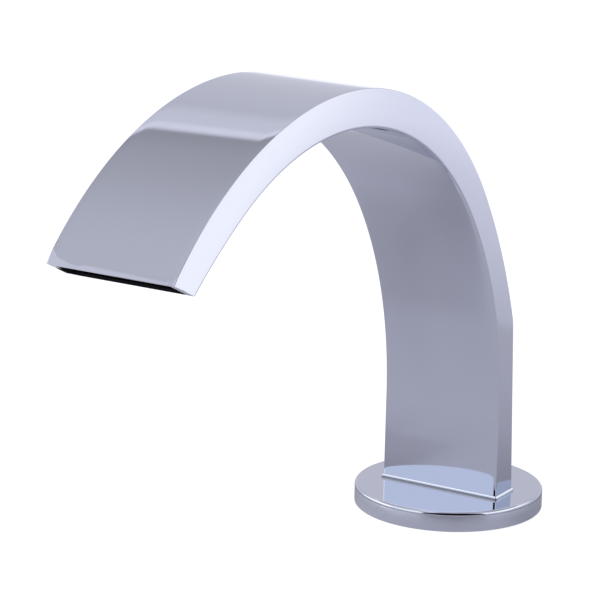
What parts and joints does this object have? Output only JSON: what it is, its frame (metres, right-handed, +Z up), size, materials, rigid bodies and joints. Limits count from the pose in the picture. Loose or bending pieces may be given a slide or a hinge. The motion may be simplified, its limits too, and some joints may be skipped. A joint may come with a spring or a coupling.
{
  "type": "basin faucet spout",
  "caption": "Chrome arched waterfall spout of rectangular section on a round deck flange, with threaded shank, washers and clamping nut below the deck.",
  "frame": {"origin": "centre of the round flange in the plane of the deck that it stands on", "axes": "+Z up, -Y towards the mouth of the spout, X across the spout"},
  "size_m": [0.052, 0.1932, 0.1933],
  "materials": {
    "chrome": "polished chrome plate, mirror bright",
    "brass": "machined brass, uncoated",
    "zinc_steel": "zinc plated pressed steel",
    "black_rubber": "moulded black rubber, matt",
    "white_plastic": "moulded acetal, satin",
    "grey_plastic": "moulded dark grey acetal, satin"
  },
  "bodies": {
    "spout": {"left_cheek": "chrome", "right_cheek": "chrome", "outer_plate": "chrome", "inner_plate": "chrome", "flow_straightener": "grey_plastic", "base_flange": "chrome", "foot_block": "brass", "deck_seal": "black_rubber", "threaded_shank": "brass", "shank_seal_ring": "black_rubber", "flow_regulator": "white_plastic", "regulator_seal_ring": "black_rubber"},
    "clamp_washers": {"rubber_washer": "black_rubber", "metal_washer": "zinc_steel"},
    "nut": {"mounting_nut": "brass"}
  },
  "joints": [
    {"name": "clamp_travel", "type": "slide", "parent": "spout", "child": "clamp_washers", "axis": [0, 0, 1], "range_m": [-0.01632, 0.01088]},
    {"name": "nut_turn", "type": "hinge", "parent": "clamp_washers", "child": "nut", "pos_m": [0, 0, -0.029], "axis": [0, 0, 1], "range_deg": [-3240, 2160]}
  ],
  "couplings": [
    {"joint": "nut_turn", "follows": "clamp_travel", "rad_per_m": 3463.7}
  ]
}
